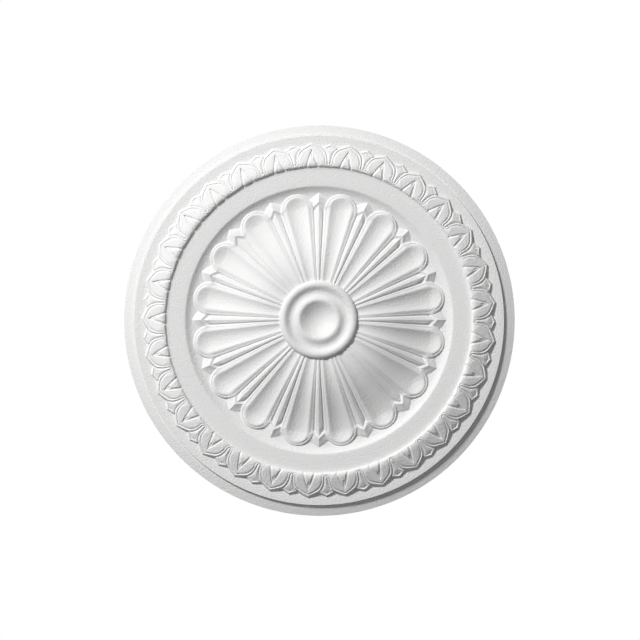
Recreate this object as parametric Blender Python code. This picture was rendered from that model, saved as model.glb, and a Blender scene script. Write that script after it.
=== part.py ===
"""Ceiling rose, one moulded piece: a domed flower of petals and spears round a dished boss, in a
plain ring, a band of leaves and a stepped rim.

Blender 4.5, in metres, +Z up. The flat back lies on the ceiling at Z = 0 with its centre at the
origin, and the carved face hangs below it. Depths are measured down from the ceiling. Angles run
clockwise as seen from below, from -Y.
"""

import math

import bmesh
import bpy
import numpy as np

# Turned form, as widths from the centre out
BOSS_RADIUS = 0.0438
PETAL_LENGTH = 0.0999
PETAL_CLEARANCE = 0.0006
RECESS_EDGE_WIDTH = 0.0061
PLAIN_RING_WIDTH = 0.0177
COVE_WIDTH = 0.0035
BAND_WALL_WIDTH = 0.0016
LEAF_LENGTH = 0.0270
LEAF_CLEARANCE = 0.0009
FLAT_WIDTH = 0.0068
STEP_WIDTH = 0.0004
RIM_WIDTH = 0.0117

# Turned form, as rises and drops from the edge in
EDGE_DEPTH = 0.0052
RIM_RISE = 0.0026
STEP_RISE = 0.0032
FLAT_RISE = 0.0003
LEAF_TIP_RISE = 0.0018
LEAF_RISE = 0.0091
LEAF_END_DROP = 0.0023
LEAF_END_WIDTH = 0.0072
BAND_WALL_DROP = 0.0018
COVE_DROP = 0.0005
PLAIN_RING_RISE = 0.0001
RECESS_DROP = 0.0050
RECESS_START = 0.0095
PETAL_TIP_RISE = 0.0032
DOME_RISE = 0.0175
DOME_START = 0.0040
DOME_SHAPE = 1.12

# Boss: an outer ring, a valley, an inner ring and a dish
OUTER_RING_RADIUS = 0.0390
OUTER_RING_RISE = 0.0036
VALLEY_RADIUS = 0.0305
VALLEY_DROP = 0.0031
INNER_RING_RADIUS = 0.0221
INNER_RING_RISE = 0.0025
DISH_DEPTH = 0.0075

# Flower
PETAL_COUNT = 16
SHAFT_HALF_ANGLE = math.radians(2.5)
CREST_ANGLE = math.radians(5.6)
CREST_INSET = 0.0042
RIM_HEIGHT_AT_BOSS = 0.0008
FLUTE_DEPTH_PER_HALF_WIDTH = 0.22
SHAFT_PITCH = 0.52
SPEAR_TIP_SETBACK = 0.0015
SPEAR_PEAK_SETBACK = 0.0103
SPEAR_BARB_SETBACK = 0.0160
SPEAR_HEEL_SETBACK = 0.0145
SPEAR_BARB_HALF_WIDTH = 0.0066
SPEAR_PEAK_RISE = 0.0046
SPEAR_BARB_RISE = 0.0021
SPEAR_MEETING = 0.38

# Leaves
LEAF_COUNT = 29
FIRST_LEAF_ANGLE = math.radians(-2.5)
BORDER_WIDTH = 0.0021
BORDER_GROOVE_WIDTH = 0.0036
BORDER_GROOVE_DEPTH = 0.0010
LOBE_BULGE = 0.0012
LOBE_CROWN = 0.72
VEIN_DEPTH = 0.0013
DART_RISE = 0.0016
SMALL_LEAF_DROP = 0.0009
CREVICE_DEPTH = 0.0016
SMALL_BORDER_WIDTH = 0.0018
SMALL_BORDER_TAPER = 0.6

# Outlines of the leaves, as shares of half the pitch across and of the leaf's length along
LEAF_OUTLINE = ((0.0, 1.0), (0.36, 0.87), (0.90, 0.73), (0.93, 0.0))
LEAF_VEIN = ((0.0, 0.70), (0.34, 0.0))
SMALL_TIP = (1.0, 0.963)
SMALL_SHOULDER = (0.78, 0.88)
SMALL_HEART = (1.0, 0.76)
MEETING = 0.47

# Facets
TURNED_SIDES = 4 * LEAF_COUNT
RECESS_SIDES = 96
BOSS_SIDES = 48
SHAFT_STEPS = 4
TIP_STEPS = 4
FLUTE_STEPS = 3
RECESS_STEPS = 2
VALLEY_STEPS = 2
DISH_STEPS = 3
OUTLINE_STEPS = 2
SMALL_TIP_STEPS = 2
WELD = 1e-5

FOAM_WHITE = (0.86, 0.86, 0.855, 1.0)
FOAM_ROUGHNESS = 0.75

RECESS_RADIUS = BOSS_RADIUS + PETAL_LENGTH + PETAL_CLEARANCE
RECESS_LIP = RECESS_RADIUS + RECESS_EDGE_WIDTH
PLAIN_RING_EDGE = RECESS_LIP + PLAIN_RING_WIDTH
COVE_EDGE = PLAIN_RING_EDGE + COVE_WIDTH
BAND_RADIUS = COVE_EDGE + BAND_WALL_WIDTH
FLAT_EDGE = BAND_RADIUS + LEAF_LENGTH + LEAF_CLEARANCE
STEP_TOP = FLAT_EDGE + FLAT_WIDTH
STEP_FOOT = STEP_TOP + STEP_WIDTH
OUTER_RADIUS = STEP_FOOT + RIM_WIDTH

RIM_DEPTH = EDGE_DEPTH + RIM_RISE
STEP_DEPTH = RIM_DEPTH + STEP_RISE
FLAT_DEPTH = STEP_DEPTH + FLAT_RISE
LEAF_TIP_DEPTH = FLAT_DEPTH + LEAF_TIP_RISE
LEAF_BASE_DEPTH = LEAF_TIP_DEPTH + LEAF_RISE
COVE_DEPTH = LEAF_BASE_DEPTH - LEAF_END_DROP - BAND_WALL_DROP
PLAIN_RING_DEPTH = COVE_DEPTH - COVE_DROP
LIP_DEPTH = PLAIN_RING_DEPTH + PLAIN_RING_RISE
RECESS_DEPTH = LIP_DEPTH - RECESS_DROP
PETAL_TIP_DEPTH = RECESS_DEPTH + PETAL_TIP_RISE
DOME_DEPTH = PETAL_TIP_DEPTH + DOME_RISE
OUTER_RING_DEPTH = DOME_DEPTH + OUTER_RING_RISE
VALLEY_DEPTH = OUTER_RING_DEPTH - VALLEY_DROP
INNER_RING_DEPTH = VALLEY_DEPTH + INNER_RING_RISE

HALF_SECTOR = math.pi / PETAL_COUNT
HALF_PITCH = math.pi / LEAF_COUNT
PETAL_REACH = BOSS_RADIUS + PETAL_LENGTH
CREST_REACH = PETAL_REACH - CREST_INSET


def ease(share):
    """From 0 at share 0 to 1 at share 1, level at both ends."""
    return (1 - np.cos(np.pi * np.clip(share, 0, 1))) / 2


def straight(share):
    return np.asarray(share)


def hollowed(share):
    """From 0 to 1, level at the start and steep at the end."""
    return np.asarray(share) ** 2


def bezier(points, shares):
    """Points at these shares along a Bezier curve of any degree."""
    points = np.asarray(points, float)
    degree = len(points) - 1
    shares = np.asarray(shares, float)[:, None]
    weights = [math.comb(degree, i) * shares**i * (1 - shares) ** (degree - i) for i in range(degree + 1)]
    return sum(weight * point for weight, point in zip(weights, points))


def angle_of(points):
    return np.arctan2(points[:, 0], points[:, 1])


def between(first, last, share):
    """Plan points from one rail to another, moved in radius and in angle so that ends stay on a ring."""
    radii = [np.hypot(rail[:, 0], rail[:, 1]) for rail in (first, last)]
    angles = [angle_of(rail) for rail in (first, last)]
    radius = radii[0] + (radii[1] - radii[0]) * share
    angle = angles[0] + (angles[1] - angles[0]) * share
    return np.column_stack([radius * np.sin(angle), radius * np.cos(angle)])


def with_depth(plan, depth):
    return np.column_stack([plan, depth])


class Relief:
    """Faces of a surface that hangs below the ceiling, gathered as plan points with depths."""

    def __init__(self):
        self.points = []
        self.faces = []

    def add(self, points, faces):
        start = sum(len(block) for block in self.points)
        self.points.append(np.asarray(points, float))
        self.faces.extend([tuple(start + i for i in face) for face in faces])

    def loft(self, first, last, section=straight, shares=(0, 1), bulge=0.0):
        """A skin from one rail to another, whose section between them follows a function."""
        shares = np.asarray(shares, float)
        swell = bulge * np.sin(np.pi * shares)
        rows = []
        for share, rise, extra in zip(shares, section(shares), swell):
            depth = first[:, 2] + (last[:, 2] - first[:, 2]) * rise + extra
            rows.append(with_depth(between(first, last, share), depth))
        count = len(first)
        faces = [
            (row * count + i, row * count + i + 1, (row + 1) * count + i + 1, (row + 1) * count + i)
            for row in range(len(shares) - 1)
            for i in range(count - 1)
        ]
        self.add(np.concatenate(rows), faces)

    def repeat(self, other, count, half_angle, start=0.0):
        """Copies of a half sector and its mirror image, all the way round."""
        plan = np.concatenate(other.points)
        for mirror in (1, -1):
            for i in range(count):
                turn = start + 2 * half_angle * i
                across = plan[:, 0] * mirror
                along = plan[:, 1]
                turned = np.column_stack([
                    across * math.cos(turn) + along * math.sin(turn),
                    along * math.cos(turn) - across * math.sin(turn),
                    plan[:, 2],
                ])
                self.add(turned, other.faces)

    def ring(self, radius):
        """The points that lie at this radius, in order of their angle."""
        points = np.concatenate(self.points)
        points = points[np.abs(np.hypot(points[:, 0], points[:, 1]) - radius) < WELD]
        points = points[np.argsort(angle_of(points))]
        gaps = np.linalg.norm(points - np.roll(points, 1, axis=0), axis=1)
        return points[gaps > WELD]

    def zip_rings(self, outer, inner):
        """Triangles between two closed rings whose points need not match."""
        turn = 2 * math.pi
        rings = []
        for ring in (outer, inner):
            angles = angle_of(ring)
            order = np.argsort(angles)
            rings.append((ring[order], np.append(angles[order], angles[order][0] + turn)))
        (outer, outer_angles), (inner, inner_angles) = rings
        faces = []
        i = 0
        j = 0
        while i < len(outer) or j < len(inner):
            ahead = i < len(outer) and (j == len(inner) or outer_angles[i + 1] <= inner_angles[j + 1])
            a = i % len(outer)
            b = len(outer) + j % len(inner)
            if ahead:
                faces.append((a, (i + 1) % len(outer), b))
                i += 1
            else:
                faces.append((a, len(outer) + (j + 1) % len(inner), b))
                j += 1
        self.add(np.concatenate([outer, inner]), faces)


def circle(radius, depth, sides):
    angles = np.arange(sides) * 2 * math.pi / sides
    return np.column_stack([
        radius * np.sin(angles),
        radius * np.cos(angles),
        np.full(sides, depth),
    ])


def turned(relief, profile, sides):
    """Rings of faces through a profile of radius and depth pairs."""
    rings = [circle(radius, depth, sides) for radius, depth in profile]
    for outer, inner in zip(rings, rings[1:]):
        closed = [np.concatenate([ring, ring[:1]]) for ring in (outer, inner)]
        relief.loft(*closed)
    return rings[0], rings[-1]


def swept(start, end, section, steps):
    """Profile points from one radius and depth to another, along a section."""
    shares = np.linspace(0, 1, steps + 1)
    return [
        (start[0] + (end[0] - start[0]) * share, start[1] + (end[1] - start[1]) * float(rise))
        for share, rise in zip(shares, section(shares))
    ]


# Flower

def share_down(radius):
    """How far down the flower's slope a radius lies, from 0 near the boss to 1 at the petals' tips."""
    start = BOSS_RADIUS + DOME_START
    return np.clip((radius - start) / (CREST_REACH - start), 0, 1)


def crest_depth(radius):
    """Depth of the petals' rims: a dome that eases from the tips up to the boss."""
    return DOME_DEPTH - DOME_RISE * ease(share_down(radius) ** DOME_SHAPE)


def bowl_rise(radius):
    """Rise of the hollow floor round the flower, from within the petals' tips out to its lip."""
    start = PETAL_REACH - RECESS_START
    return RECESS_DROP * np.clip((radius - start) / (RECESS_LIP - start), 0, 1) ** 2


def ground_depth(radius):
    """Depth of the grooves and of the ground between the petals."""
    rim = RIM_HEIGHT_AT_BOSS + (PETAL_TIP_RISE - RIM_HEIGHT_AT_BOSS) * share_down(radius)
    return crest_depth(radius) - rim + bowl_rise(radius)


def turned_about_petal(points):
    """Points given from the petal's axis, as across and along, turned to stand beside a spear."""
    across, along = points[:, 0], points[:, 1]
    cos, sin = math.cos(HALF_SECTOR), math.sin(HALF_SECTOR)
    return np.column_stack([along * sin - across * cos, along * cos + across * sin])


def petal_line(half_angle, reach, run, arc):
    """A side that runs out from the boss, closed by the circle it touches, up to the tip."""
    middle = reach / (1 + math.sin(half_angle))
    radius = middle * math.sin(half_angle)
    along = BOSS_RADIUS + (middle * math.cos(half_angle) - BOSS_RADIUS) * np.asarray(run)
    side = np.column_stack([along * math.sin(half_angle), along * math.cos(half_angle)])
    turn = (math.pi / 2 + half_angle) * (1 - np.asarray(arc))
    end = np.column_stack([radius * np.sin(turn), middle + radius * np.cos(turn)])
    return turned_about_petal(np.concatenate([side, end])), middle


def half_petal_and_spear():
    """From a spear's axis to the next petal's axis."""
    relief = Relief()
    run = np.linspace(0, 1, SHAFT_STEPS + 1)
    arc = np.append(SPEAR_MEETING / 2, np.linspace(SPEAR_MEETING, 1, TIP_STEPS + 1))

    crest, middle = petal_line(HALF_SECTOR - CREST_ANGLE, CREST_REACH, run, arc)
    crest = with_depth(crest, crest_depth(np.hypot(*crest.T)))

    along = np.concatenate([BOSS_RADIUS + (middle - BOSS_RADIUS) * run, np.full(len(arc), middle)])
    axis = turned_about_petal(np.column_stack([np.zeros_like(along), along]))
    half_width = along * math.sin(HALF_SECTOR - CREST_ANGLE)
    axis = with_depth(axis, crest_depth(along) - FLUTE_DEPTH_PER_HALF_WIDTH * half_width)

    groove, _ = petal_line(HALF_SECTOR - SHAFT_HALF_ANGLE, PETAL_REACH, run, arc)
    groove = with_depth(groove, ground_depth(np.hypot(*groove.T)))

    # The spear's head covers the foot of the petal between the shaft's end and where the two part
    tip = np.array([0, PETAL_REACH - SPEAR_TIP_SETBACK, ground_depth(PETAL_REACH)])
    peak_at = PETAL_REACH - SPEAR_PEAK_SETBACK
    peak = np.array([0, peak_at, ground_depth(peak_at) + SPEAR_PEAK_RISE])
    barb_at = PETAL_REACH - SPEAR_BARB_SETBACK
    barb = np.array([SPEAR_BARB_HALF_WIDTH, barb_at, ground_depth(barb_at) + SPEAR_BARB_RISE])
    heel_at = PETAL_REACH - SPEAR_HEEL_SETBACK
    shoulder = groove[SHAFT_STEPS]
    ridge_rise = SHAFT_PITCH * math.sin(SHAFT_HALF_ANGLE)
    heel = np.array([0, heel_at, ground_depth(heel_at) + ridge_rise * heel_at])
    meeting = groove[SHAFT_STEPS + 2]
    foot = np.concatenate([groove[: SHAFT_STEPS + 1], [barb], groove[SHAFT_STEPS + 2 :]])

    shaft_along = BOSS_RADIUS + (heel_at - BOSS_RADIUS) * run
    shaft = np.column_stack([
        np.zeros_like(run),
        shaft_along,
        ground_depth(shaft_along) + ridge_rise * shaft_along,
    ])
    shaft[-1] = heel

    relief.loft(shaft, foot[: SHAFT_STEPS + 1])
    relief.loft(np.array([heel, peak]), np.array([shoulder, barb]))
    relief.add([peak, barb, meeting, tip], [(0, 1, 2), (0, 2, 3)])
    relief.loft(foot, crest)
    relief.loft(axis, crest, hollowed, np.linspace(0, 1, FLUTE_STEPS + 1))

    ground = np.concatenate([[tip], groove[SHAFT_STEPS + 2 :]])
    angles = np.linspace(0, HALF_SECTOR, len(ground))
    edge = np.column_stack([
        RECESS_RADIUS * np.sin(angles),
        RECESS_RADIUS * np.cos(angles),
        np.full(len(angles), RECESS_DEPTH + bowl_rise(RECESS_RADIUS)),
    ])
    relief.loft(ground, edge)
    return relief


# Leaf band

def on_band(shares):
    """Shares of the half pitch and of the leaf's length, as plan points beside the leaf's axis."""
    shares = np.asarray(shares, float)
    angle = shares[:, 0] * HALF_PITCH
    radius = BAND_RADIUS + shares[:, 1] * LEAF_LENGTH
    return np.column_stack([radius * np.sin(angle), radius * np.cos(angle)])


def leaf_depth(plan):
    """Depth of the leaves' borders, which slope up from the tips and round over at the inner end."""
    along = np.hypot(plan[:, 0], plan[:, 1]) - BAND_RADIUS
    end = np.clip(1 - along / LEAF_END_WIDTH, 0, 1) ** 3
    return LEAF_BASE_DEPTH - LEAF_RISE * along / LEAF_LENGTH - LEAF_END_DROP * end


def moved_towards(first, last, distance):
    """Plan points moved this far from the first rail towards the last."""
    return between(first, last, distance / np.linalg.norm(last - first, axis=1))


def half_leaves():
    """From a large leaf's axis to the next small leaf's axis."""
    relief = Relief()
    outer = np.linspace(0, MEETING, OUTLINE_STEPS + 1)
    inner = np.linspace(MEETING, 1, OUTLINE_STEPS + 1)
    stations = np.concatenate([outer, inner[1:]])
    outline = on_band(bezier(LEAF_OUTLINE, stations))
    vein = on_band(bezier(LEAF_VEIN, stations))

    ground_end = len(outer)
    foot_depth = leaf_depth(outline) - CREVICE_DEPTH
    foot_depth[:ground_end] = FLAT_DEPTH
    foot = with_depth(outline, foot_depth)
    crest_plan = moved_towards(outline, vein, BORDER_WIDTH)
    crest = with_depth(crest_plan, leaf_depth(crest_plan))
    groove_plan = moved_towards(outline, vein, BORDER_GROOVE_WIDTH)
    groove = with_depth(groove_plan, leaf_depth(groove_plan) - BORDER_GROOVE_DEPTH)
    leg = with_depth(vein, leaf_depth(vein) - VEIN_DEPTH)
    spine = on_band(bezier(((0, LEAF_VEIN[0][1]), (0, 0)), stations))
    dart = with_depth(spine, leaf_depth(spine) - VEIN_DEPTH + DART_RISE * stations)
    relief.loft(foot, crest)
    relief.loft(crest, groove)
    relief.loft(groove, leg, straight, (0, LOBE_CROWN, 1), LOBE_BULGE)
    relief.loft(leg, dart)

    # The small leaf shows between the large ones
    tip_shares = np.linspace(0, 1, SMALL_TIP_STEPS + 1)
    meeting = bezier(LEAF_OUTLINE, [MEETING])[0]
    small_outline = on_band(bezier((SMALL_TIP, SMALL_SHOULDER, meeting), tip_shares))
    side = np.concatenate([small_outline, outline[ground_end:]])
    rib_shares = np.linspace(0, 1, len(side))
    rib_plan = on_band(bezier((SMALL_HEART, (1, 0)), rib_shares))
    small_foot_depth = np.concatenate([np.full(len(small_outline), FLAT_DEPTH), foot_depth[ground_end:]])
    small_foot = with_depth(side, small_foot_depth)
    border = SMALL_BORDER_WIDTH * (1 - SMALL_BORDER_TAPER * rib_shares)
    small_crest_plan = moved_towards(side, rib_plan, border)
    small_crest = with_depth(small_crest_plan, leaf_depth(small_crest_plan) - SMALL_LEAF_DROP)
    rib = with_depth(rib_plan, leaf_depth(rib_plan) - SMALL_LEAF_DROP)
    relief.loft(small_foot, small_crest)
    relief.loft(small_crest, rib)

    ground = np.concatenate([foot[:ground_end], small_foot[:SMALL_TIP_STEPS][::-1]])
    angles = np.linspace(0, HALF_PITCH, len(ground))
    edge = np.column_stack([
        FLAT_EDGE * np.sin(angles),
        FLAT_EDGE * np.cos(angles),
        np.full(len(angles), FLAT_DEPTH),
    ])
    relief.loft(ground, edge)
    return relief


# Whole rose

def rose_relief():
    relief = Relief()
    rim = [
        (OUTER_RADIUS, 0.0),
        (OUTER_RADIUS, EDGE_DEPTH),
        (STEP_FOOT, RIM_DEPTH),
        (STEP_TOP, STEP_DEPTH),
    ]
    back, flat = turned(relief, rim, TURNED_SIDES)
    relief.add(back, [tuple(range(len(back)))])

    leaves = Relief()
    leaves.repeat(half_leaves(), LEAF_COUNT, HALF_PITCH, FIRST_LEAF_ANGLE)
    relief.add(np.concatenate(leaves.points), leaves.faces)
    relief.zip_rings(flat, leaves.ring(FLAT_EDGE))

    middle = [(COVE_EDGE, COVE_DEPTH), (PLAIN_RING_EDGE, PLAIN_RING_DEPTH)]
    for radius in np.linspace(RECESS_LIP, RECESS_RADIUS, RECESS_STEPS + 1):
        middle.append((radius, RECESS_DEPTH + bowl_rise(radius)))
    cove, recess = turned(relief, middle, RECESS_SIDES)
    relief.zip_rings(leaves.ring(BAND_RADIUS), cove)

    flower = Relief()
    flower.repeat(half_petal_and_spear(), PETAL_COUNT, HALF_SECTOR)
    relief.add(np.concatenate(flower.points), flower.faces)
    relief.zip_rings(recess, flower.ring(RECESS_RADIUS))

    outer_crest = (OUTER_RING_RADIUS, OUTER_RING_DEPTH)
    valley = (VALLEY_RADIUS, VALLEY_DEPTH)
    inner_crest = (INNER_RING_RADIUS, INNER_RING_DEPTH)
    dish = (0.0, INNER_RING_DEPTH - DISH_DEPTH)
    boss = swept(outer_crest, valley, ease, VALLEY_STEPS)
    boss += swept(valley, inner_crest, ease, VALLEY_STEPS)[1:]
    boss += swept(inner_crest, dish, ease, DISH_STEPS)[1:]
    ring, _ = turned(relief, boss, BOSS_SIDES)
    relief.zip_rings(flower.ring(BOSS_RADIUS), ring)
    return relief


def white_foam():
    material = bpy.data.materials.new("white_foam")
    material.use_nodes = True
    shader = material.node_tree.nodes["Principled BSDF"]
    shader.inputs["Base Color"].default_value = FOAM_WHITE
    shader.inputs["Roughness"].default_value = FOAM_ROUGHNESS
    shader.inputs["Metallic"].default_value = 0.0
    return material


def make_rose():
    relief = rose_relief()
    points = np.concatenate(relief.points)
    corners = np.column_stack([points[:, 0], -points[:, 1], -points[:, 2]])
    mesh = bpy.data.meshes.new("ceiling_rose")
    mesh.from_pydata(corners.tolist(), [], relief.faces)
    shape = bmesh.new()
    shape.from_mesh(mesh)
    bmesh.ops.remove_doubles(shape, verts=shape.verts, dist=WELD)
    bmesh.ops.dissolve_degenerate(shape, edges=shape.edges, dist=WELD)
    bmesh.ops.recalc_face_normals(shape, faces=shape.faces)
    shape.to_mesh(mesh)
    shape.free()
    mesh.materials.append(white_foam())
    rose = bpy.data.objects.new("ceiling_rose", mesh)
    bpy.context.scene.collection.objects.link(rose)
    return rose


for old in list(bpy.data.objects):
    bpy.data.objects.remove(old)
make_rose()
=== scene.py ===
"""Looks of a moulded foam ceiling rose, built round the fixed frame of its solid.

The flat back lies on the ceiling at Z = 0 and the carved face hangs below it. Points of the carving
are worked out in plan, as across and along from an axis of symmetry, with a depth below the ceiling.
Plan angles run clockwise as seen from below, from -Y, which is the top of the picture.
"""

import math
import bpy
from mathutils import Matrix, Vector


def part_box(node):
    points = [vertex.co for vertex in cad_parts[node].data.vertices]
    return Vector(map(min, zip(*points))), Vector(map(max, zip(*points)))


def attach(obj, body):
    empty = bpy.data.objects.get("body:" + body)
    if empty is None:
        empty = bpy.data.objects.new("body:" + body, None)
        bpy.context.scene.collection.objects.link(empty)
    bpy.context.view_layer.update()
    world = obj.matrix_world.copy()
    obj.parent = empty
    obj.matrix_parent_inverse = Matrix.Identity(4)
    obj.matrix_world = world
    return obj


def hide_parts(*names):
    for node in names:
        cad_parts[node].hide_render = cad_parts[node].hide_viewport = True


bl_info = {
    "name": "Moulded Ceiling Rose",
    "version": (1, 0, 0),
    "blender": (4, 5, 0),
    "location": "View3D > Sidebar > Ceiling Rose",
    "description": "Builds a foam ceiling rose with petals, spears, leaves and a stepped rim",
    "category": "Add Mesh",
}

from types import SimpleNamespace

import bmesh
import bpy
import numpy as np
from bpy.props import FloatProperty, FloatVectorProperty, IntProperty, PointerProperty
from mathutils import Matrix, Vector

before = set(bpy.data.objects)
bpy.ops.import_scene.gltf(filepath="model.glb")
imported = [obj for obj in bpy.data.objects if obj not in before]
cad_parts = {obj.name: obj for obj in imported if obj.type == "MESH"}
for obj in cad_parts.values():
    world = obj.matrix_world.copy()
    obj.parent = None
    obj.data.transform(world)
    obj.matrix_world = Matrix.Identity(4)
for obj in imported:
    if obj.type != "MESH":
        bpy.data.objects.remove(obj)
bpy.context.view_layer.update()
NODE = "ceiling_rose"
LOWEST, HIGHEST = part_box(NODE)

# Points closer than this, in metres, become one
WELD = 1e-5

# Kinds of settings
LENGTHS = {"unit": "LENGTH", "precision": 5}
SHARES = {"min": 0, "max": 1, "subtype": "FACTOR"}


def length(name, default, description):
    return FloatProperty(name=name, description=description, default=default, min=0, **LENGTHS)


def offset(name, default, description):
    return FloatProperty(name=name, description=description, default=default, **LENGTHS)


def angle(name, degrees, description):
    return FloatProperty(name=name, description=description, default=math.radians(degrees), subtype="ANGLE")


def share(name, default, description):
    return FloatProperty(name=name, description=description, default=default, **SHARES)


def amount(name, default, description):
    return FloatProperty(name=name, description=description, default=default)


def count(name, default, description):
    return IntProperty(name=name, description=description, default=default, min=1)


class RoseTurning(bpy.types.PropertyGroup):
    """Widths from the centre out, and rises and drops from the edge in, of all that is round."""

    radius: length("Radius", HIGHEST[0], "From the centre to the edge")
    depth: length("Depth", -LOWEST[2], "From the ceiling to the boss's outer ring")
    boss_radius: length("Boss radius", 0.0438, "To the foot of the boss")
    petal_length: length("Petal length", 0.0999, "From the boss to the petals' tips")
    petal_clearance: length("Petal clearance", 0.0003, "From the petals' tips to the open floor round them")
    recess_edge_width: length("Recess edge width", 0.0064, "From there to the lip of the recess")
    plain_ring_width: length("Plain ring width", 0.0177, "Across the plain ring")
    cove_width: length("Cove width", 0.0035, "Across the cove between the plain ring and the leaves' wall")
    band_wall_width: length("Band wall width", 0.0016, "Across the wall at the foot of the leaves")
    leaf_length: length("Leaf length", 0.0270, "From the foot to the tip of a large leaf")
    leaf_clearance: length("Leaf clearance", 0.0009, "From the leaves' tips to the plain flat")
    flat_width: length("Flat width", 0.0068, "Across the flat outside the leaves")
    step_width: length("Step width", 0.0004, "Across the step down to the rim")
    edge_depth: length("Edge depth", 0.0052, "Height of the outer edge")
    edge_round: length("Edge round", 0.0006, "Radius of the outer edge's arris")
    rim_rise: length("Rim rise", 0.0026, "Rise of the rim from its edge in")
    step_rise: length("Step rise", 0.0032, "Rise of the step")
    step_groove_width: length("Step groove width", 0.0013, "Across the groove at the step's foot")
    step_groove_depth: length("Step groove depth", 0.0004, "Depth of that groove")
    flat_rise: length("Flat rise", 0.0003, "Rise of the flat")
    leaf_tip_rise: length("Leaf tip rise", 0.0018, "Rise of a large leaf's tip over the flat")
    leaf_rise: length("Leaf rise", 0.0091, "Rise of the leaves from tip to foot, before they round over")
    leaf_end_drop: length("Leaf end drop", 0.0023, "Drop of the leaves where they round over at their foot")
    leaf_end_width: length("Leaf end width", 0.0072, "Across that round")
    band_wall_drop: length("Band wall drop", 0.0018, "Drop of the wall at the foot of the leaves")
    cove_drop: length("Cove drop", 0.0005, "Drop of the cove")
    plain_ring_rise: length("Plain ring rise", 0.0001, "Rise of the plain ring")
    lip_round: length("Lip round", 0.0013, "From the recess's lip to where its round ends")
    recess_drop: length("Recess drop", 0.0050, "Drop of the hollow floor round the flower")
    recess_start: length("Recess start", 0.0095, "From the petals' reach in to where the floor rises")
    petal_tip_rise: length("Petal tip rise", 0.0032, "Rise of a petal's rim over the lowest floor")
    ring_radius: length("Boss ring radius", 0.0390, "To the crest of the boss's outer ring")
    ring_rise: length("Boss ring rise", 0.0036, "Rise of the boss's outer ring")
    valley_radius: length("Boss valley radius", 0.0305, "To the middle of the valley between the rings")
    valley_width: length("Boss valley width", 0.0012, "Across the level floor of that valley")
    valley_drop: length("Boss valley drop", 0.0031, "Drop of the valley")
    inner_ring_radius: length("Boss inner ring radius", 0.0221, "To the crest of the boss's inner ring")
    inner_ring_rise: length("Boss inner ring rise", 0.0025, "Rise of the inner ring over the valley")
    dish_depth: length("Dish depth", 0.0075, "Depth of the dish in the middle")


class RoseFlower(bpy.types.PropertyGroup):
    """The fluted petals and the spears between them."""

    petals: count("Petals", 16, "How many petals, with as many spears")
    shaft_angle: angle("Shaft half angle", 2.5, "Half the wedge that a spear's shaft fills")
    dome_start: length("Dome start", 0.0040, "From the boss out to where the flower starts to fall")
    dome_shape: amount("Dome shape", 1.12, "Over 1, the steepest part lies further out")
    crest_angle: angle("Crest angle", 5.6, "From a spear's axis to the crest of the petal's rim")
    crest_inset: length("Crest inset", 0.0042, "From a petal's tip in to the crest of its rim")
    rim_height: length("Rim height at boss", 0.0008, "Height of a petal's rim over the groove, at the boss")
    flute_depth: amount("Flute depth", 0.22, "Depth of a flute over half its width")
    groove_width: length("Groove width", 0.0013, "Across the grooves beside the shafts")
    groove_depth: length("Groove depth", 0.0016, "Depth below the shafts' edges, at the petals' tips")
    shaft_pitch: amount("Shaft pitch", 0.30, "Slope of a shaft's two faces")
    tip_setback: length("Spear tip setback", 0.0015, "From the petals' reach in to a spear's tip")
    peak_setback: length("Spear peak setback", 0.0103, "From the petals' reach in to the head's peak")
    heel_setback: length("Spear heel setback", 0.0136, "From the petals' reach in to the shaft's end")
    barb_share: share("Barb share", 0.13, "Where along a petal's round end the head's lower corner lies")
    wing_share: share("Wing share", 0.38, "Where along a petal's round end the head's widest point lies")
    peak_rise: length("Spear peak rise", 0.0046, "Height of the head's peak over the ground")
    barb_rise: length("Spear barb rise", 0.0022, "Height of the head's lower corners over the groove")
    head_edge: length("Spear head edge", 0.0008, "Height of the head's outer edge over the ground")


class RoseLeaves(bpy.types.PropertyGroup):
    """The large leaves and the small ones that show between them."""

    leaves: count("Leaves", 29, "How many large leaves, with as many small ones")
    first: angle("First leaf", -2.5, "From the top of the picture round to a large leaf's axis")
    border_width: length("Border width", 0.0021, "From a large leaf's outline to its border's crest")
    groove_width: length("Border groove width", 0.0036, "From the outline to the groove inside the border")
    groove_depth: length("Border groove depth", 0.0010, "Depth of that groove")
    lobe_bulge: length("Lobe bulge", 0.0002, "Swell of a leaf's two lobes over the crest of its border")
    vein_depth: length("Vein depth", 0.0013, "Depth of the grooves beside the dart")
    dart_rise: length("Dart rise", 0.0016, "Rise of the dart over its grooves, at its foot")
    small_drop: length("Small leaf drop", 0.0006, "How much lower the small leaves lie")
    small_border: length("Small border width", 0.0018, "From a small leaf's outline to its border's crest")
    crevice: length("Crevice depth", 0.0016, "Depth of the crevice round a large leaf")


class RoseFoam(bpy.types.PropertyGroup):
    """The foam and its grain."""

    colour: FloatVectorProperty(
        name="Foam colour",
        description="White of the foam",
        default=(0.86, 0.86, 0.855),
        subtype="COLOR",
        min=0,
        max=1,
    )
    bead: length("Bead size", 0.0014, "Width of one pressed bead")
    relief: length("Grain relief", 0.00042, "How far the beads stand out")
    roughness: share("Roughness", 0.72, "Of the foam's skin")


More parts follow.
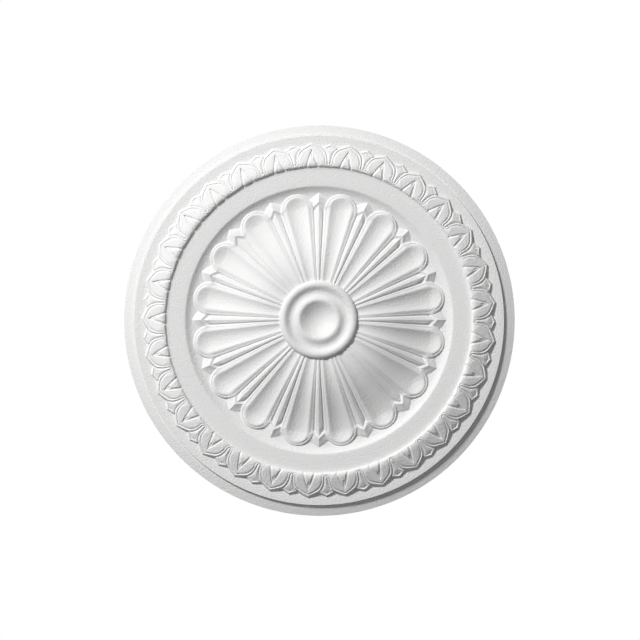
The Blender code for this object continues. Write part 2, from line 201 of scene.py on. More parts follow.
class RoseStage(bpy.types.PropertyGroup):
    """Camera, lights and floor."""

    camera_distance: length("Camera distance", 5.0, "From the ceiling down to the camera")
    picture_width: length("Picture width", 0.7213, "What the picture takes in at the ceiling")
    camera_right: offset("Camera right", 0.110, "Off the rose's axis, to the picture's right")
    camera_down: offset("Camera down", 0.125, "Off the rose's axis, to the picture's foot")
    aim_right: offset("Aim right", 0.0008, "From the rose's axis to the middle of the picture")
    aim_down: offset("Aim down", -0.00045, "From the rose's axis to the middle of the picture")
    key_distance: length("Key distance", 5.0, "From the rose to the key light")
    key_bearing: angle("Key bearing", 318, "Clockwise from the top of the picture")
    key_height: angle("Key height", 37.5, "Of the key light, out from the ceiling")
    key_size: length("Key size", 0.8, "Side of the key light")
    key_power: amount("Key power", 262, "Of the key light, in watts")
    room: amount("Room", 0.06, "Light from the room below")
    ceiling: amount("Ceiling", 0.5, "Light from the pale ceiling round the rose")
    floor_drop: length("Floor drop", 5.4, "From the ceiling down to the floor")
    floor_size: length("Floor size", 5.0, "Side of the floor")


SETTINGS = {
    "rose_turning": RoseTurning,
    "rose_flower": RoseFlower,
    "rose_leaves": RoseLeaves,
    "rose_foam": RoseFoam,
    "rose_stage": RoseStage,
}

# Steps of the fine surface, round about
TURNED_SIDES = 232
RECESS_SIDES = 192
BOSS_SIDES = 128

# Steps of the fine surface, along the turned profiles
ARRIS_STEPS = 3
RIM_STEPS = 4
STEP_STEPS = 3
COVE_STEPS = 6
PLAIN_RING_STEPS = 3
LIP_STEPS = 5
BOWL_STEPS = 8
BOSS_STEPS = 12
VALLEY_STEPS = 8
DISH_STEPS = 20

# Steps of the fine surface, along the flower and across it
SHAFT_STEPS = 22
HEAD_STEPS = 4
TIP_STEPS = 16
SHAFT_ROWS = 2
FLUTE_ROWS = 8

# Steps of the fine surface, along the leaves and across them
LEAF_STEPS = (10, 9, 4, 5)
SMALL_TIP_STEPS = 6
BORDER_ROWS = 6
GROOVE_ROWS = 5
LOBE_ROWS = 8
DART_ROWS = 2
SMALL_BORDER_ROWS = 5
SMALL_GROOVE_ROWS = 4
KEEL_ROWS = 3
GROUND_ROWS = 3

# Shapes of the round forms: powers of curves, and shares that are curved at a section's two ends
BOWL_POWER = 2.6
COVE_POWER = 2
DISH_BENDS = (0.09, 0.72)

# An inset line reckons with no smaller sine of slant than this, and ends short of the other rail
SLANT_LEAST = 0.5
INSET_MOST = 0.9

# Edges that meet at more than this stay crisp
SHARP_ANGLE = math.radians(20)


def turning():
    """Radii and depths of the round forms, worked out from the widths, rises and drops."""
    s = bpy.context.scene.rose_turning
    r = SimpleNamespace(outer=s.radius, boss=s.boss_radius)
    r.reach = s.boss_radius + s.petal_length
    r.recess = r.reach + s.petal_clearance
    r.lip = r.recess + s.recess_edge_width
    r.plain = r.lip + s.plain_ring_width
    r.cove = r.plain + s.cove_width
    r.band = r.cove + s.band_wall_width
    r.leaf = s.leaf_length
    r.flat = r.band + s.leaf_length + s.leaf_clearance
    r.step_top = r.flat + s.flat_width
    r.step_foot = r.step_top + s.step_width
    d = SimpleNamespace(edge=s.edge_depth, rim=s.edge_depth + s.rim_rise)
    d.step = d.rim + s.step_rise
    d.flat = d.step + s.flat_rise
    d.leaf = d.flat + s.leaf_tip_rise + s.leaf_rise
    d.band = d.leaf - s.leaf_end_drop
    d.cove = d.band - s.band_wall_drop
    d.plain = d.cove - s.cove_drop
    d.lip = d.plain + s.plain_ring_rise
    d.recess = d.lip - s.recess_drop
    d.petal_tip = d.recess + s.petal_tip_rise
    d.ring = s.depth
    d.dome = d.ring - s.ring_rise
    d.valley = d.ring - s.valley_drop
    d.inner_ring = d.valley + s.inner_ring_rise
    return r, d


def bowl_rise(radius):
    """Rise of the hollow floor round the flower, from within the petals' tips out to its lip."""
    s = bpy.context.scene.rose_turning
    r, _ = turning()
    start = r.reach - s.recess_start
    return s.recess_drop * np.clip((radius - start) / (r.lip - start), 0, 1) ** BOWL_POWER


# Sections

def mixed(first, last, share):
    """From the first value, at share 0, to the last, at share 1."""
    return first + (last - first) * share


def ease(shares):
    """From 0 at share 0 to 1 at share 1, level at both ends."""
    return (1 - np.cos(np.pi * np.clip(shares, 0, 1))) / 2


def rounded(shares):
    """From 0 to 1, steep at the start and level at the end."""
    return np.sin(np.pi / 2 * np.asarray(shares))


def settled(shares):
    """From 0 to 1, sloping at the start and level at the end."""
    return 1 - (1 - shares) ** COVE_POWER


def bent(first, last):
    """A section curved over its first and its last share, level at both ends and straight between."""
    slope = 1 / (1 - first / 2 - last / 2)

    def section(shares):
        shares = np.asarray(shares, float)
        start = slope * shares**2 / (2 * first)
        end = 1 - slope * (1 - shares) ** 2 / (2 * last)
        middle = slope * (shares - first / 2)
        return np.where(shares < first, start, np.where(shares > 1 - last, end, middle))

    return section


def straight(shares):
    return np.asarray(shares, float)


def steps(number):
    return np.linspace(0, 1, number + 1)


def bezier(points, shares):
    """Points at these shares along a Bezier curve of any degree."""
    points = np.asarray(points, float)
    degree = len(points) - 1
    shares = np.asarray(shares, float)[:, None]
    weights = [
        math.comb(degree, i) * shares**i * (1 - shares) ** (degree - i)
        for i in range(degree + 1)
    ]
    return sum(weight * point for weight, point in zip(weights, points))


def chained(curves, ends, shares):
    """Points along several Bezier curves in turn, each of which runs up to its own share."""
    points = np.empty((len(shares), 2))
    start = 0.0
    for curve, end in zip(curves, ends):
        here = (shares >= start) & (shares <= end)
        points[here] = bezier(curve, (shares[here] - start) / (end - start))
        start = end
    return points


def spread(ends, counts):
    """Shares from 0 to 1 that hold each of these ends, with so many steps up to each."""
    starts = (0.0, *ends[:-1])
    runs = [mixed(start, end, steps(number)[1:]) for start, end, number in zip(starts, ends, counts)]
    return np.concatenate([[0.0], *runs])


# Skins

def angle_of(points):
    return np.arctan2(points[:, 0], points[:, 1])


def radius_of(points):
    return np.hypot(points[:, 0], points[:, 1])


def polar(radius, bearing):
    return np.column_stack([radius * np.sin(bearing), radius * np.cos(bearing)])


def between(first, last, shares):
    """Plan points from one rail to another, moved in radius and in angle so that ends stay on a ring."""
    radius = mixed(radius_of(first), radius_of(last), shares)
    bearing = mixed(angle_of(first), angle_of(last), shares)
    return polar(radius, bearing)


def inset(rail, towards, width):
    """A line at this width inside a rail, met on the way from the rail's points to the other's."""
    way = towards - rail
    reach = np.maximum(np.linalg.norm(way, axis=1), WELD)
    run = np.gradient(rail, axis=0)
    run /= np.linalg.norm(run, axis=1)[:, None]
    slant = np.abs(run[:, 0] * way[:, 1] - run[:, 1] * way[:, 0]) / reach
    share_of_way = width / np.maximum(slant, SLANT_LEAST) / reach
    return between(rail, towards, np.minimum(share_of_way, INSET_MOST))


def with_depth(plan, depth):
    return np.column_stack([plan, depth])


class Skin:
    """Faces of a surface that hangs below the ceiling, as plan points with depths."""

    def __init__(self):
        self.blocks = []
        self.faces = []
        self.total = 0

    def points(self):
        return np.concatenate(self.blocks)

    def add(self, points, faces):
        points = np.asarray(points, float)
        self.blocks.append(points)
        self.faces.extend(tuple(self.total + i for i in face) for face in faces)
        self.total += len(points)

    def loft(self, first, last, section=straight, shares=(0, 1), bulge=0.0, crown=2):
        """Rows of faces from one rail to another, along a section, with a bulge in their middle."""
        shares = np.asarray(shares, float)
        swell = 1 - np.abs(2 * shares - 1) ** crown
        rows = []
        for at, rise, extra in zip(shares, section(shares), swell):
            depth = mixed(first[:, 2], last[:, 2], rise) + bulge * extra
            rows.append(with_depth(between(first, last, at), depth))
        wide = len(first)
        faces = [
            (row * wide + i, row * wide + i + 1, (row + 1) * wide + i + 1, (row + 1) * wide + i)
            for row in range(len(shares) - 1)
            for i in range(wide - 1)
        ]
        self.add(np.concatenate(rows), faces)

    def collar(self, ring, radius, depth):
        """Faces from a closed ring to a circle with points at the same angles. Returns the circle."""
        closed = np.append(ring, ring[:1], axis=0)
        circle = with_depth(polar(radius, angle_of(closed)), np.full(len(closed), depth))
        self.loft(closed, circle)
        return circle[:-1]

    def zip_rings(self, outer, inner):
        """Triangles between two closed rings whose points need not match."""
        outer, outer_angles = in_order(outer)
        inner, inner_angles = in_order(inner)
        faces = []
        i = 0
        j = 0
        while i < len(outer) or j < len(inner):
            a = i % len(outer)
            b = len(outer) + j % len(inner)
            if i < len(outer) and (j == len(inner) or outer_angles[i + 1] <= inner_angles[j + 1]):
                i += 1
                faces.append((a, i % len(outer), b))
            else:
                j += 1
                faces.append((a, len(outer) + j % len(inner), b))
        self.add(np.concatenate([outer, inner]), faces)

    def turn(self, profile, sides):
        """Rings of faces through radius and depth pairs. Returns the first and the last ring."""
        bearings = np.arange(sides + 1) * 2 * math.pi / sides
        rings = [
            with_depth(polar(radius, bearings), np.full(sides + 1, depth))
            for radius, depth in profile
        ]
        for outer, inner in zip(rings, rings[1:]):
            self.loft(outer, inner)
        return rings[0][:-1], rings[-1][:-1]


def in_order(ring):
    """A ring's points by angle, and their angles with the first one again a turn on."""
    angles = angle_of(ring)
    order = np.argsort(angles)
    return ring[order], np.append(angles[order], angles[order[0]] + 2 * math.pi)


def ring_at(points, radius):
    """Those points that lie at a radius, once each, in order of their angle."""
    ring, _ = in_order(points[np.abs(radius_of(points) - radius) < WELD])
    gaps = np.linalg.norm(ring - np.roll(ring, 1, axis=0), axis=1)
    return ring[gaps > WELD]


def swept(start, end, section, number):
    """Profile points from one radius and depth to another, along a section."""
    shares = steps(number)
    radii = mixed(start[0], end[0], shares)
    depths = mixed(start[1], end[1], section(shares))
    return list(zip(radii, depths))


def quarter(start, end, number):
    """Profile points along a quarter of an ellipse, upright at the start and level at the end."""
    turn = steps(number) * math.pi / 2
    radii = mixed(start[0], end[0], 1 - np.cos(turn))
    depths = mixed(start[1], end[1], np.sin(turn))
    return list(zip(radii, depths))


def to_world(points):
    return np.column_stack([points[:, 0], -points[:, 1], -points[:, 2]])


def mesh_of(name, skin):
    mesh = bpy.data.meshes.new(name)
    mesh.from_pydata(to_world(skin.points()).tolist(), [], skin.faces)
    shape = bmesh.new()
    shape.from_mesh(mesh)
    bmesh.ops.remove_doubles(shape, verts=shape.verts, dist=WELD)
    bmesh.ops.dissolve_degenerate(shape, edges=shape.edges, dist=WELD)
    bmesh.ops.recalc_face_normals(shape, faces=shape.faces)
    shape.to_mesh(mesh)
    shape.free()
    return mesh


# Node helpers

def add_node(tree, kind, **values):
    """A node with its properties and, by socket name, its inputs. A node as a value is linked."""
    node = tree.nodes.new(kind)
    for key, value in values.items():
        name = key.replace("_", " ").strip()
        socket = next((s for s in node.inputs if s.name.lower() == name and s.enabled), None)
        if socket is None:
            setattr(node, key, value)
        elif isinstance(value, bpy.types.NodeSocket):
            tree.links.new(value, socket)
        else:
            socket.default_value = value
    return node


def math_node(tree, operation, *values):
    node = tree.nodes.new("ShaderNodeMath")
    node.operation = operation
    for socket, value in zip(node.inputs, values):
        if isinstance(value, bpy.types.NodeSocket):
            tree.links.new(value, socket)
        else:
            socket.default_value = value
    return node.outputs[0]


# Repeating a half sector all the way round

def repeat_tree():
    """Geometry Nodes that mirror a half sector and repeat it about the Z axis."""
    tree = bpy.data.node_groups.new("repeat_round", "GeometryNodeTree")
    sockets = {
        "Geometry": "NodeSocketGeometry",
        "Count": "NodeSocketInt",
        "Start": "NodeSocketFloat",
        "Weld": "NodeSocketFloat",
        "Material": "NodeSocketMaterial",
    }
    for name, kind in sockets.items():
        tree.interface.new_socket(name, in_out="INPUT", socket_type=kind)
    tree.interface.new_socket("Geometry", in_out="OUTPUT", socket_type="NodeSocketGeometry")
    given = tree.nodes.new("NodeGroupInput").outputs
    half = given["Geometry"]
    mirrored = add_node(tree, "GeometryNodeTransform", geometry=half, scale=(-1, 1, 1))
    flipped = add_node(tree, "GeometryNodeFlipFaces", mesh=mirrored.outputs[0])
    whole = tree.nodes.new("GeometryNodeJoinGeometry")
    tree.links.new(half, whole.inputs[0])
    tree.links.new(flipped.outputs[0], whole.inputs[0])
    line = add_node(tree, "GeometryNodeMeshLine", count=given["Count"], offset=(0, 0, 0))
    index = tree.nodes.new("GeometryNodeInputIndex").outputs[0]
    pitch = math_node(tree, "DIVIDE", 2 * math.pi, given["Count"])
    bearing = math_node(tree, "MULTIPLY_ADD", index, pitch, given["Start"])
    turn = add_node(tree, "FunctionNodeAxisAngleToRotation", axis=(0, 0, 1), angle=bearing)
    copies = add_node(
        tree,
        "GeometryNodeInstanceOnPoints",
        points=line.outputs[0],
        instance=whole.outputs[0],
        rotation=turn.outputs[0],
    )
    real = add_node(tree, "GeometryNodeRealizeInstances", geometry=copies.outputs[0])
    merged = add_node(tree, "GeometryNodeMergeByDistance", geometry=real.outputs[0], distance=given["Weld"])
    painted = add_node(
        tree,
        "GeometryNodeSetMaterial",
        geometry=merged.outputs[0],
        material=given["Material"],
    )
    tree.links.new(painted.outputs[0], tree.nodes.new("NodeGroupOutput").inputs[0])
    return tree


def repeated(name, skin, number, start):
    """The half sector's mesh, mirrored and repeated by Geometry Nodes, as plain plan points and faces."""
    half = bpy.data.objects.new(name, mesh_of(name, skin))
    bpy.context.scene.collection.objects.link(half)
    tree = bpy.data.node_groups.get("repeat_round") or repeat_tree()
    modifier = half.modifiers.new("Repeat", "NODES")
    modifier.node_group = tree
    values = {"Count": number, "Start": start, "Weld": WELD, "Material": foam_material()}
    for socket in tree.interface.items_tree:
        if socket.in_out == "INPUT" and socket.name in values:
            modifier[socket.identifier] = values[socket.name]
    bpy.context.view_layer.update()
    whole = bpy.data.meshes.new_from_object(half.evaluated_get(bpy.context.evaluated_depsgraph_get()))
    points = np.empty(len(whole.vertices) * 3, np.float32)
    whole.vertices.foreach_get("co", points)
    faces = [tuple(face.vertices) for face in whole.polygons]
    bpy.data.objects.remove(half)
    return to_world(points.reshape(-1, 3).astype(float)), faces


# Flower

# Where a petal's line has the spear's shoulder, its head's lower corner and its head's widest point
SHOULDER_AT = SHAFT_STEPS
BARB_AT = SHOULDER_AT + HEAD_STEPS
WING_AT = BARB_AT + HEAD_STEPS
# Share of a shaft over which its edges sink at its end
SHAFT_END = 0.06
# Share of a petal's round end that the head's outer edge takes
HEAD_EDGE_SHARE = 0.04
# Share of a flute, from its middle out, that curves up before it levels off at the rim's crest
FLUTE_BEND = 0.88
# A petal's rim from groove to crest, as shares of the way across and of the rise
RIM_SECTION = ((0.0, 0.0), (0.12, 0.44), (0.32, 0.70), (0.50, 0.62), (0.86, 0.99), (1.0, 1.0))


def turned_about_petal(points, half_sector):
    """Points given from the petal's axis, as across and along, turned to stand beside a spear."""
    across, along = points[:, 0], points[:, 1]
    cos, sin = math.cos(half_sector), math.sin(half_sector)
    return np.column_stack([along * sin - across * cos, along * cos + across * sin])


def petal_line(half_angle, reach):
    """A plan line from the boss out beside a spear and round a petal's end, and the middle of that end."""
    f = bpy.context.scene.rose_flower
    r, _ = turning()
    arc_ends = (f.barb_share, f.wing_share, f.wing_share + HEAD_EDGE_SHARE, 1.0)
    arc = spread(arc_ends, (HEAD_STEPS, HEAD_STEPS, 1, TIP_STEPS))[1:]
    middle = reach / (1 + math.sin(half_angle))
    end_radius = middle * math.sin(half_angle)
    side = polar(mixed(r.boss, middle * math.cos(half_angle), steps(SHAFT_STEPS)), half_angle)
    turn = (math.pi / 2 + half_angle) * (1 - arc)
    end = np.column_stack([end_radius * np.sin(turn), middle + end_radius * np.cos(turn)])
    return turned_about_petal(np.concatenate([side, end]), math.pi / f.petals), middle


def on_slope(radius):
    """From 0 where the flower starts to fall to 1 at the crest of a petal's tip."""
    f = bpy.context.scene.rose_flower
    r, _ = turning()
    start = r.boss + f.dome_start
    return np.clip((radius - start) / (r.reach - f.crest_inset - start), 0, 1)


def crest_depth(radius):
    """Depth of the crests of the petals' rims."""
    f = bpy.context.scene.rose_flower
    _, d = turning()
    return d.dome - (d.dome - d.petal_tip) * ease(on_slope(radius) ** f.dome_shape)


def ground_depth(radius):
    """Depth of the ground that the petals and the spears stand on."""
    f = bpy.context.scene.rose_flower
    t = bpy.context.scene.rose_turning
    rim = mixed(f.rim_height, t.petal_tip_rise, on_slope(radius))
    return crest_depth(radius) - rim + bowl_rise(radius)


def edge_rise(radius):
    """Rise of a shaft's edges over the ground."""
    f = bpy.context.scene.rose_flower
    r, _ = turning()
    return f.groove_depth * radius / r.reach


def ridge_rise(radius):
    """Rise of a shaft's ridge over the ground."""
    f = bpy.context.scene.rose_flower
    return edge_rise(radius) + f.shaft_pitch * math.sin(f.shaft_angle) * radius


def on_axis(setback, rise):
    """A point on a spear's axis, this far in from the petals' reach and this high over the ground."""
    r, _ = turning()
    at = r.reach - setback
    return np.array([0, at, ground_depth(at) + rise])


def line(start, end):
    return mixed(start, end, steps(HEAD_STEPS)[:, None])


def across(start, end, shares):
    """Points from one point to another at these shares, moved in radius and in angle."""
    return np.concatenate([
        with_depth(between(start[None], end[None], share), [mixed(start[2], end[2], share)])
        for share in shares
    ])


def spear_foot(groove):
    """The line where a spear meets a petal's rim: the groove, raised beside the spear's head."""
    f = bpy.context.scene.rose_flower
    rise = np.zeros(len(groove))
    rise[SHOULDER_AT : BARB_AT + 1] = f.barb_rise * steps(HEAD_STEPS)
    rise[BARB_AT : WING_AT + 1] = mixed(f.barb_rise, f.head_edge, steps(HEAD_STEPS))
    return with_depth(groove[:, :2], groove[:, 2] + rise)


def half_spear(skin, groove, foot):
    """Half a spear's shaft and head. Returns the foot of the head's outer edge."""
    f = bpy.context.scene.rose_flower
    r, _ = turning()
    heel = on_axis(f.heel_setback, 0)
    heel[2] += ridge_rise(heel[1])
    peak = on_axis(f.peak_setback, f.peak_rise)
    tip = on_axis(f.tip_setback, f.head_edge)
    tip_foot = on_axis(f.tip_setback - f.head_edge, 0)
    wing = groove[WING_AT] + np.array([0, 0, f.head_edge])

    run = steps(SHAFT_STEPS)
    along = mixed(r.boss, heel[1], run)
    shaft_depth = ground_depth(along) + ridge_rise(along)
    shaft = with_depth(np.column_stack([np.zeros_like(run), along]), shaft_depth)
    side = foot[: SHOULDER_AT + 1]
    edge_share = 1 - f.groove_width / np.maximum(side[:, 0], 2 * f.groove_width)
    lift = edge_rise(along) * edge_share * ease((1 - run) / SHAFT_END)
    edge_depth = mixed(shaft[:, 2], side[:, 2], edge_share) + lift
    shaft_edge = with_depth(between(shaft, side, edge_share), edge_depth)
    skin.loft(shaft, shaft_edge, shares=steps(SHAFT_ROWS))
    skin.loft(shaft_edge, side)

    shares = np.array([0, edge_share[-1] / 2, edge_share[-1], 1])
    skin.loft(line(heel, peak), foot[SHOULDER_AT : BARB_AT + 1], shares=shares)
    skin.loft(line(peak, tip), foot[BARB_AT : WING_AT + 1], shares=shares)
    edge_foot = across(tip_foot, groove[WING_AT + 1], shares)
    skin.loft(across(tip, wing, shares), edge_foot)
    return edge_foot


def half_petal(skin, foot):
    """A petal's rim, from its foot up to its crest, and half its flute."""
    f = bpy.context.scene.rose_flower
    r, _ = turning()
    half_sector = math.pi / f.petals
    half_angle = half_sector - f.crest_angle
    crest, middle = petal_line(half_angle, r.reach - f.crest_inset)
    crest = with_depth(crest, crest_depth(radius_of(crest)))
    along = np.full(len(crest), middle)
    along[: SHAFT_STEPS + 1] = mixed(r.boss, middle, steps(SHAFT_STEPS))
    axis = turned_about_petal(np.column_stack([np.zeros_like(along), along]), half_sector)
    axis = with_depth(axis, crest_depth(along) - f.flute_depth * (along * math.sin(half_angle)))
    rim_shares, rim_rises = np.transpose(RIM_SECTION)
    skin.loft(foot, crest, lambda at: rim_rises, rim_shares)
    flute_shares = np.append(steps(FLUTE_ROWS) * FLUTE_BEND, [(1 + FLUTE_BEND) / 2, 1.0])
    skin.loft(axis, crest, bent(FLUTE_BEND, 1 - FLUTE_BEND), flute_shares)


def hollow_floor(skin, ground):
    """The floor from the flower's outline out to a ring, with a line of points half way."""
    f = bpy.context.scene.rose_flower
    r, d = turning()
    edge = polar(r.recess, np.linspace(0, math.pi / f.petals, len(ground)))
    edge = with_depth(edge, np.full(len(ground), d.recess + bowl_rise(r.recess)))
    floor = between(ground, edge, 0.5)
    floor = with_depth(floor, d.recess + bowl_rise(radius_of(floor)))
    skin.loft(ground, floor)
    skin.loft(floor, edge)


def half_petal_and_spear():
    """From a spear's axis to the next petal's axis."""
    f = bpy.context.scene.rose_flower
    r, _ = turning()
    groove, _ = petal_line(math.pi / f.petals - f.shaft_angle, r.reach)
    groove = with_depth(groove, ground_depth(radius_of(groove)))
    foot = spear_foot(groove)
    skin = Skin()
    edge_foot = half_spear(skin, groove, foot)
    half_petal(skin, foot)
    hollow_floor(skin, np.concatenate([edge_foot, groove[WING_AT + 2 :]]))
    return skin


# Leaves

# Outlines, as shares of half the pitch across and of a leaf's length along
LEAF_TIP = ((0.0, 1.0), (0.30, 0.90), (0.59, 0.775))
LEAF_SIDE = ((0.59, 0.775), (0.80, 0.66), (0.885, 0.42), (0.89, 0.17))
LEAF_ARCH = ((0.89, 0.17), (0.895, 0.07), (1.0, 0.07))
LEAF_VEIN = ((0.0, 0.71), (0.34, 0.0))
LEAF_HEEL = ((0.34, 0.0), (1.0, 0.0))
LEAF_DART = ((0.0, 0.45), (0.21, 0.0))
LEAF_SPINE = ((0.0, 0.45), (0.0, 0.0))
SMALL_TIP = ((1.0, 0.955), (0.80, 0.88), (0.59, 0.775))
SMALL_RIB = ((1.0, 0.79), (1.0, 0.07))

# Where along half an outline the small leaf meets it, the vein ends and the arch at its foot starts
MEETING = 0.34
VEIN_END = 0.68
ARCH_START = 0.80

# Shares of half an outline over which the foot sinks into the crevice, the vein ends and the border thins
FOOT_FALL = 0.08
VEIN_FADE = 0.03
BORDER_FADE = 0.4

# Shares by which widths and depths shrink on the way to a leaf's heel
BORDER_THINNING = 0.5
GROOVE_THINNING = 0.4
GROOVE_FILLING = 0.5
CREVICE_FILLING = 0.4
SMALL_THINNING = 0.6

# Depth of a small leaf's groove at its heel, as a share of the crevice
SMALL_GROOVE_END = 0.3

# How many times shorter than their lengths the rise of a dart and the fall of a small leaf are
DART_QUICKNESS = 3
TONGUE_QUICKNESS = 2.5

# Powers of curves: the leaves' drop at their foot steepens inwards, and the lobes' swell is level-topped
LEAF_END_POWER = 3
LOBE_CROWN = 8


def on_band(shares):
    """Plan points from shares of half the pitch across and of a leaf's length along."""
    r, _ = turning()
    half_pitch = math.pi / bpy.context.scene.rose_leaves.leaves
    return polar(r.band + shares[:, 1] * r.leaf, shares[:, 0] * half_pitch)


def border_depth(plan):
    """Depth of the crests of the leaves' borders, from which the leaves' drops are taken."""
    t = bpy.context.scene.rose_turning
    r, d = turning()
    along = radius_of(plan) - r.band
    end = np.clip(1 - along / t.leaf_end_width, 0, 1) ** LEAF_END_POWER
    return d.leaf - t.leaf_rise * along / r.leaf - t.leaf_end_drop * end


def lowered(plan, drop):
    return with_depth(plan, np.zeros(len(plan)) - drop)


def at_flat(plan):
    _, d = turning()
    return d.flat - border_depth(plan)


def half_large_leaf(skin):
    """Half a large leaf, with its depths taken from the borders' crests. Returns the line of its foot."""
    v = bpy.context.scene.rose_leaves
    at = spread((MEETING, VEIN_END, ARCH_START, 1.0), LEAF_STEPS)
    outline = on_band(chained((LEAF_TIP, LEAF_SIDE, LEAF_ARCH), (MEETING, ARCH_START, 1.0), at))
    inner = on_band(chained((LEAF_VEIN, LEAF_HEEL), (VEIN_END, 1.0), at))
    past = ease((at - MEETING) / FOOT_FALL)
    fade = ease((at - MEETING) / BORDER_FADE)
    crevice = v.crevice * (1 - CREVICE_FILLING * ease((at - ARCH_START) / (1 - ARCH_START)))
    foot = with_depth(outline, at_flat(outline) * (1 - past) - crevice * past)
    crest = lowered(inset(outline, inner, v.border_width * (1 - BORDER_THINNING * fade)), 0)
    groove_drop = v.groove_depth * (1 - GROOVE_FILLING * fade)
    groove = lowered(inset(outline, inner, v.groove_width * (1 - GROOVE_THINNING * fade)), groove_drop)
    vein_drop = v.vein_depth * (1 - ease((at - VEIN_END) / VEIN_FADE))
    inner = lowered(inner, vein_drop)
    swell = v.lobe_bulge + (groove_drop + vein_drop) / 2
    skin.loft(foot, crest, rounded, steps(BORDER_ROWS))
    skin.loft(crest, groove, ease, steps(GROOVE_ROWS))
    skin.loft(groove, inner, straight, ease(steps(LOBE_ROWS)), swell, LOBE_CROWN)

    vein = inner[: sum(LEAF_STEPS[:2]) + 1]
    vein_shares = at[: len(vein)] / VEIN_END
    dart_drop = v.vein_depth - v.dart_rise * ease(vein_shares * DART_QUICKNESS)
    dart = lowered(on_band(bezier(LEAF_DART, vein_shares)), dart_drop)
    spine = lowered(on_band(bezier(LEAF_SPINE, vein_shares)), dart_drop)
    skin.loft(vein, dart, shares=steps(DART_ROWS))
    skin.loft(dart, spine)
    return foot


def half_small_leaf(skin, large_foot):
    """Half a small leaf, beside this part of a large leaf's foot. Returns the line of its own foot."""
    v = bpy.context.scene.rose_leaves
    tip = on_band(bezier(SMALL_TIP, steps(SMALL_TIP_STEPS)))
    foot = np.append(with_depth(tip, at_flat(tip)), large_foot, axis=0)
    side = foot[:, :2]
    at = steps(len(side) - 1)
    rib = on_band(bezier(SMALL_RIB, at))
    tongue = ease(at * TONGUE_QUICKNESS)
    border = v.small_border * (1 - SMALL_THINNING * tongue)
    crest_drop = mixed(v.small_drop, (1 - CREVICE_FILLING) * v.crevice, tongue)
    crest = lowered(inset(side, rib, border), crest_drop)
    groove_drop = mixed(v.small_drop + v.groove_depth, SMALL_GROOVE_END * v.crevice, tongue)
    groove = lowered(inset(side, rib, 2 * border), groove_drop)
    keel = lowered(rib, v.small_drop * (1 - tongue))
    keel[-1] = foot[-1]
    skin.loft(foot, crest, rounded, steps(SMALL_BORDER_ROWS))
    skin.loft(crest, groove, ease, steps(SMALL_GROOVE_ROWS))
    skin.loft(groove, keel, straight, steps(KEEL_ROWS))
    return foot


def half_leaves():
    """From a large leaf's axis to the next small leaf's axis, with the ground out to a ring."""
    r, _ = turning()
    meets = LEAF_STEPS[0]
    skin = Skin()
    large_foot = half_large_leaf(skin)
    small_foot = half_small_leaf(skin, large_foot[meets + 1 :])
    ground = np.append(large_foot[: meets + 1], small_foot[:SMALL_TIP_STEPS][::-1], axis=0)
    edge = polar(r.flat, np.linspace(0, math.pi / bpy.context.scene.rose_leaves.leaves, len(ground)))
    skin.loft(ground, with_depth(edge, at_flat(edge)), shares=steps(GROUND_ROWS))
    skin.blocks = [
        with_depth(block[:, :2], block[:, 2] + border_depth(block))
        for block in skin.blocks
    ]
    return skin


# The whole moulding

def rim_profile():
    """From the back's edge in to the flat outside the leaves."""
    t = bpy.context.scene.rose_turning
    r, d = turning()
    arris = [
        (r.outer - t.edge_round * (1 - math.cos(turn)), d.edge - t.edge_round * (1 - math.sin(turn)))
        for turn in np.linspace(0, math.pi / 2, ARRIS_STEPS + 1)
    ]
    rim = swept(arris[-1], (r.step_foot + t.step_groove_width, d.rim), straight, RIM_STEPS)[1:]
    step_foot = (r.step_foot, d.rim - t.step_groove_depth)
    step = swept(step_foot, (r.step_top, d.step), straight, STEP_STEPS)
    return [(r.outer, 0.0)] + arris + rim + step


def middle_profile():
    """From the foot of the leaves' wall in, over the plain ring and the recess's lip."""
    t = bpy.context.scene.rose_turning
    r, d = turning()
    cove = swept((r.cove, d.cove), (r.plain, d.plain), settled, COVE_STEPS)
    ring = swept((r.plain, d.plain), (r.lip + t.lip_round, d.lip), straight, PLAIN_RING_STEPS)[1:]
    radii = np.linspace(r.lip - t.lip_round, r.recess, BOWL_STEPS + 1)
    bowl = list(zip(radii, d.recess + bowl_rise(radii)))
    lip = bezier([ring[-1], (r.lip, d.lip), bowl[0]], steps(LIP_STEPS)[1:-1])
    return cove + ring + lip.tolist() + bowl


def boss_profile():
    """From the foot of the boss in to the middle of its dish."""
    t = bpy.context.scene.rose_turning
    r, d = turning()
    ring = (t.ring_radius, d.ring)
    inner_ring = (t.inner_ring_radius, d.inner_ring)
    valley_outer = (t.valley_radius + t.valley_width / 2, d.valley)
    valley_inner = (t.valley_radius - t.valley_width / 2, d.valley)
    dish_floor = (0.0, d.inner_ring - t.dish_depth)
    rise = quarter((r.boss, d.dome), ring, BOSS_STEPS)
    valley = swept(ring, valley_outer, ease, VALLEY_STEPS)[1:]
    inner = swept(valley_inner, inner_ring, ease, VALLEY_STEPS)
    dish = swept(inner_ring, dish_floor, bent(*DISH_BENDS), DISH_STEPS)[1:]
    return rise + valley + inner + dish


